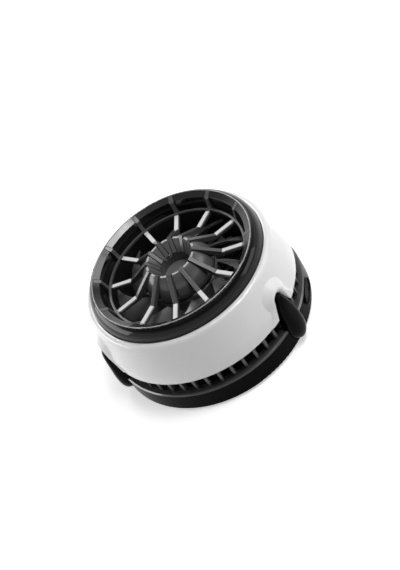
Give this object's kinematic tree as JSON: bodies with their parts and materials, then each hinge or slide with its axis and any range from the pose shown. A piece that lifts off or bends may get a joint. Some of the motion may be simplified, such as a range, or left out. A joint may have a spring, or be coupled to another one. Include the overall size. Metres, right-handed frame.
{
  "type": "phone cooling fan",
  "caption": "Round phone cooler with a spoked fan head in a white shell, vents and a black magnetic base.",
  "frame": {"origin": "centre of the cold contact face that lies on the phone", "axes": "+Z along the fan's axis, from the phone towards the grille; +X and +Y level, with the charging socket 32 degrees from +X towards -Y"},
  "size_m": [0.0679, 0.0656, 0.033],
  "materials": {
    "shell_white": "gloss",
    "gloss_black": "gloss",
    "base_black": "satin",
    "grille_black": "satin",
    "disc_grey": "satin",
    "inlay_silver": "satin",
    "fan_black": "satin",
    "frame_black": "matte",
    "silicone_grey": "matte",
    "foam_black": "matte",
    "plate_aluminium": "satin",
    "sink_aluminium": "satin",
    "alumina_white": "matte",
    "pellet_grey": "matte",
    "steel": "satin",
    "shaft_steel": "polished",
    "magnet_nickel": "polished",
    "ferrite": "matte",
    "copper_wire": "satin",
    "bearing_bronze": "satin",
    "washer_nylon": "matte",
    "board_green": "satin",
    "chip_black": "matte",
    "capacitor_tan": "matte",
    "socket_steel": "satin",
    "tongue_black": "matte",
    "lead_insulation": "satin"
  },
  "bodies": {
    "housing": {"base_housing": "base_black", "contact_ring": "silicone_grey", "cold_plate": "plate_aluminium", "phone_magnets": "magnet_nickel", "magnet_keeper": "steel", "peltier_cold_ceramic": "alumina_white", "peltier_pellets": "pellet_grey", "peltier_hot_ceramic": "alumina_white", "foam_seal": "foam_black", "heat_sink": "sink_aluminium", "heat_sink_screws": "steel", "main_board": "board_green", "controller_chip": "chip_black", "power_inductor": "ferrite", "board_capacitors": "capacitor_tan", "socket_shell": "socket_steel", "socket_tongue": "tongue_black", "socket_surround": "base_black", "vent_ring": "base_black", "claw_1": "gloss_black", "claw_2": "gloss_black", "claw_3": "gloss_black", "case_screws": "steel", "head_shell": "shell_white", "bezel_ring": "gloss_black", "grille_spokes": "grille_black", "tie_ring": "grille_black", "hub_cup": "grille_black", "board_pad": "foam_black", "spoke_inlays": "inlay_silver", "hub_petals": "grille_black", "hub_disc": "disc_grey", "fan_frame": "frame_black", "motor_board": "board_green", "stator_core": "steel", "stator_coils": "copper_wire", "bearing": "bearing_bronze", "thrust_washer": "washer_nylon", "fan_leads": "lead_insulation", "peltier_leads": "lead_insulation"},
    "rotor": {"impeller": "fan_black", "rotor_yoke": "steel", "rotor_magnet": "ferrite", "shaft": "shaft_steel", "shaft_clip": "steel"}
  },
  "joints": [
    {"name": "fan_spin", "type": "hinge", "parent": "housing", "child": "rotor", "pos_m": [0, 0, 0.0198], "axis": [0, 0, 1], "continuous": true}
  ]
}
